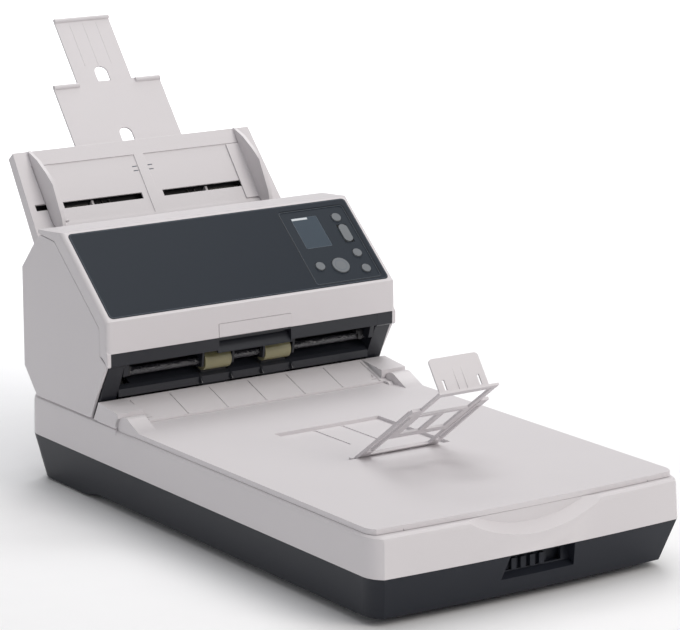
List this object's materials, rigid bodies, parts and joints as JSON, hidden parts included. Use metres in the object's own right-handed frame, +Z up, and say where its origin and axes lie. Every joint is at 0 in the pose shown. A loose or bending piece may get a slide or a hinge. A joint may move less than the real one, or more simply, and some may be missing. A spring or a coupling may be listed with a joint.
{
  "type": "document scanner",
  "caption": "Flatbed document scanner with a sheet feeder over its rear, an opening document lid with a fold-up paper stop, and a chute with guides and pull-out extensions.",
  "frame": {"origin": "on the table under the middle of the machine with its chute drawn out", "axes": "+X to the right as seen by the user, +Y to the rear, +Z up"},
  "size_m": [0.3, 0.7287, 0.3923],
  "materials": {
    "white_abs": "fine textured moulding",
    "dark_abs": "fine textured moulding",
    "slate_abs": "satin moulding",
    "black_abs": "satin moulding",
    "foot_rubber": "matte",
    "roller_rubber": "ground rubber",
    "belt_rubber": "matte",
    "bright_steel": "ground and polished",
    "motor_steel": "plated",
    "circuit_board": "lacquered",
    "clear_glass": "clear float glass",
    "lamp_lens": "clear moulding",
    "white_foam": "white faced foam",
    "amber_roller": "translucent moulding",
    "display_window": "polished window",
    "grey_button": "satin moulding"
  },
  "bodies": {
    "base": {"base_lower_case": "dark_abs", "base_upper_case": "white_abs", "rubber_feet": "foot_rubber", "case_screws": "bright_steel", "platen_glass": "clear_glass", "guide_rod": "bright_steel", "carriage_belt": "belt_rubber", "drive_motors": "motor_steel", "main_board": "circuit_board", "rear_sockets": "black_abs", "lid_hinge_pins": "bright_steel", "eject_ramp": "white_abs", "left_side_cover": "white_abs", "right_side_cover": "white_abs", "rear_cover": "white_abs", "side_frames": "dark_abs", "lower_paper_guide": "dark_abs", "lower_scan_unit": "black_abs", "lower_scan_glass": "clear_glass", "timing_belt": "belt_rubber", "chute": "white_abs"},
    "carriage": {"carriage": "black_abs", "lamp_bar": "lamp_lens"},
    "carriage_pulley": {"carriage_pulley": "bright_steel"},
    "lock_switch": {"lock_switch": "slate_abs"},
    "lid": {"lid_shell": "white_abs", "lid_inner_plate": "white_abs", "document_pad": "white_foam"},
    "stacker_arm": {"stacker_arm": "white_abs"},
    "stacker_extension": {"stacker_extension": "white_abs"},
    "stacker_paddle": {"stacker_paddle": "white_abs"},
    "motor_pulley": {"motor_pulley": "bright_steel"},
    "feed_rollers": {"feed_rollers": "roller_rubber"},
    "eject_rollers": {"eject_rollers": "roller_rubber"},
    "pick_roller": {"pick_roller": "roller_rubber"},
    "cover": {"cover_shell": "white_abs", "cover_front_band": "dark_abs", "upper_paper_guide": "dark_abs", "upper_scan_unit": "black_abs", "upper_scan_glass": "clear_glass", "dark_panel": "slate_abs", "control_bezel": "slate_abs", "lcd_window": "display_window", "panel_board": "circuit_board"},
    "brake_roller": {"brake_roller": "roller_rubber"},
    "feed_pinch_rollers": {"feed_pinch_rollers": "black_abs"},
    "exit_pinch_rollers": {"exit_pinch_rollers": "amber_roller"},
    "release_tab": {"release_tab": "white_abs"},
    "latch_bar": {"latch_bar": "bright_steel"},
    "menu_button": {"menu_button": "grey_button"},
    "scroll_rocker": {"scroll_rocker": "grey_button"},
    "manual_button": {"manual_button": "grey_button"},
    "power_button": {"power_button": "grey_button"},
    "scan_button": {"scan_button": "grey_button"},
    "stop_button": {"stop_button": "grey_button"},
    "left_guide": {"left_guide": "white_abs"},
    "right_guide": {"right_guide": "white_abs"},
    "guide_pinion": {"guide_pinion": "bright_steel"},
    "chute_extension_1": {"chute_extension_1": "white_abs"},
    "chute_extension_2": {"chute_extension_2": "white_abs"}
  },
  "joints": [
    {"name": "carriage_slide", "type": "slide", "parent": "base", "child": "carriage", "axis": [0, 1, 0], "range_m": [-0.262, 0]},
    {"name": "carriage_pulley_spin", "type": "hinge", "parent": "base", "child": "carriage_pulley", "pos_m": [0.03, -0.018, 0.048], "axis": [1, 0, 0], "continuous": true},
    {"name": "lock_slide", "type": "slide", "parent": "base", "child": "lock_switch", "axis": [1, 0, 0], "range_m": [0, 0.015]},
    {"name": "lid_hinge", "type": "hinge", "parent": "base", "child": "lid", "pos_m": [0, 0.032, 0.078], "axis": [1, 0, 0], "range_deg": [-80, 0]},
    {"name": "stacker_arm_hinge", "type": "hinge", "parent": "lid", "child": "stacker_arm", "pos_m": [0, -0.164, 0.0796], "axis": [1, 0, 0], "range_deg": [-145.3, 0]},
    {"name": "stacker_extension_slide", "type": "slide", "parent": "stacker_arm", "child": "stacker_extension", "axis": [0, -0.8221, 0.5693], "range_m": [-0.03, 0]},
    {"name": "stacker_paddle_hinge", "type": "hinge", "parent": "stacker_extension", "child": "stacker_paddle", "pos_m": [0, -0.26677, 0.15076], "axis": [1, 0, 0], "range_deg": [-90, 0]},
    {"name": "cover_hinge", "type": "hinge", "parent": "base", "child": "cover", "pos_m": [0, 0.07, 0.124], "axis": [1, 0, 0], "range_deg": [0, 65]},
    {"name": "release_tab_pull", "type": "hinge", "parent": "cover", "child": "release_tab", "pos_m": [0, 0.0557, 0.1529], "axis": [1, 0, 0], "range_deg": [-12, 0], "stiffness_Nm_per_rad": 0.05},
    {"name": "latch_turn", "type": "hinge", "parent": "cover", "child": "latch_bar", "pos_m": [0, 0.1589, 0.2128], "axis": [1, 0, 0], "range_deg": [0, 12]},
    {"name": "menu_button_press", "type": "slide", "parent": "cover", "child": "menu_button", "axis": [0, -0.6476, 0.762], "range_m": [-0.0012, 0], "stiffness_N_per_m": 150},
    {"name": "manual_button_press", "type": "slide", "parent": "cover", "child": "manual_button", "axis": [0, -0.6476, 0.762], "range_m": [-0.0012, 0], "stiffness_N_per_m": 150},
    {"name": "power_button_press", "type": "slide", "parent": "cover", "child": "power_button", "axis": [0, -0.6476, 0.762], "range_m": [-0.0012, 0], "stiffness_N_per_m": 150},
    {"name": "scan_button_press", "type": "slide", "parent": "cover", "child": "scan_button", "axis": [0, -0.6476, 0.762], "range_m": [-0.0012, 0], "stiffness_N_per_m": 150},
    {"name": "stop_button_press", "type": "slide", "parent": "cover", "child": "stop_button", "axis": [0, -0.6476, 0.762], "range_m": [-0.0012, 0], "stiffness_N_per_m": 150},
    {"name": "scroll_rocker_tilt", "type": "hinge", "parent": "cover", "child": "scroll_rocker", "pos_m": [0.126, 0.1037, 0.2055], "axis": [1, 0, 0], "range_deg": [-3, 3], "stiffness_Nm_per_rad": 0.05},
    {"name": "feed_spin", "type": "hinge", "parent": "base", "child": "feed_rollers", "pos_m": [0, 0.15616, 0.14568], "axis": [1, 0, 0], "continuous": true},
    {"name": "eject_spin", "type": "hinge", "parent": "base", "child": "eject_rollers", "pos_m": [0, 0.08374, 0.10165], "axis": [1, 0, 0], "continuous": true},
    {"name": "motor_spin", "type": "hinge", "parent": "base", "child": "motor_pulley", "pos_m": [0, 0.1629, 0.1003], "axis": [1, 0, 0], "continuous": true},
    {"name": "pick_spin", "type": "hinge", "parent": "base", "child": "pick_roller", "pos_m": [0, 0.19034, 0.17403], "axis": [1, 0, 0], "continuous": true},
    {"name": "brake_spin", "type": "hinge", "parent": "cover", "child": "brake_roller", "pos_m": [0, 0.17502, 0.18883], "axis": [1, 0, 0], "continuous": true},
    {"name": "feed_pinch_spin", "type": "hinge", "parent": "cover", "child": "feed_pinch_rollers", "pos_m": [0, 0.14539, 0.15922], "axis": [1, 0, 0], "continuous": true},
    {"name": "exit_pinch_spin", "type": "hinge", "parent": "cover", "child": "exit_pinch_rollers", "pos_m": [0, 0.07626, 0.11835], "axis": [1, 0, 0], "continuous": true},
    {"name": "left_guide_slide", "type": "slide", "parent": "base", "child": "left_guide", "axis": [1, 0, 0], "range_m": [0, 0.08]},
    {"name": "right_guide_slide", "type": "slide", "parent": "base", "child": "right_guide", "axis": [1, 0, 0], "range_m": [-0.08, 0]},
    {"name": "guide_pinion_spin", "type": "hinge", "parent": "base", "child": "guide_pinion", "pos_m": [0, 0.23441, 0.2384], "axis": [0, -0.7826, 0.6225], "continuous": true},
    {"name": "chute_extension_1_slide", "type": "slide", "parent": "base", "child": "chute_extension_1", "axis": [0, 0.6225, 0.7826], "range_m": [-0.063, 0]},
    {"name": "chute_extension_2_slide", "type": "slide", "parent": "chute_extension_1", "child": "chute_extension_2", "axis": [0, 0.6225, 0.7826], "range_m": [-0.068, 0]}
  ],
  "couplings": [
    {"joint": "carriage_pulley_spin", "follows": "carriage_slide", "rad_per_m": 158.73},
    {"joint": "stacker_extension_slide", "follows": "stacker_arm_hinge", "m_per_rad": 0.01183},
    {"joint": "stacker_paddle_hinge", "follows": "stacker_arm_hinge", "ratio": 0.61941},
    {"joint": "latch_turn", "follows": "release_tab_pull", "ratio": -1},
    {"joint": "eject_spin", "follows": "feed_spin", "ratio": 1},
    {"joint": "motor_spin", "follows": "feed_spin", "ratio": 1.2},
    {"joint": "feed_pinch_spin", "follows": "feed_spin", "ratio": -1.125},
    {"joint": "exit_pinch_spin", "follows": "feed_spin", "ratio": -1},
    {"joint": "brake_spin", "follows": "pick_spin", "ratio": -1.1},
    {"joint": "right_guide_slide", "follows": "left_guide_slide", "ratio": -1},
    {"joint": "guide_pinion_spin", "follows": "left_guide_slide", "rad_per_m": 111.4}
  ]
}
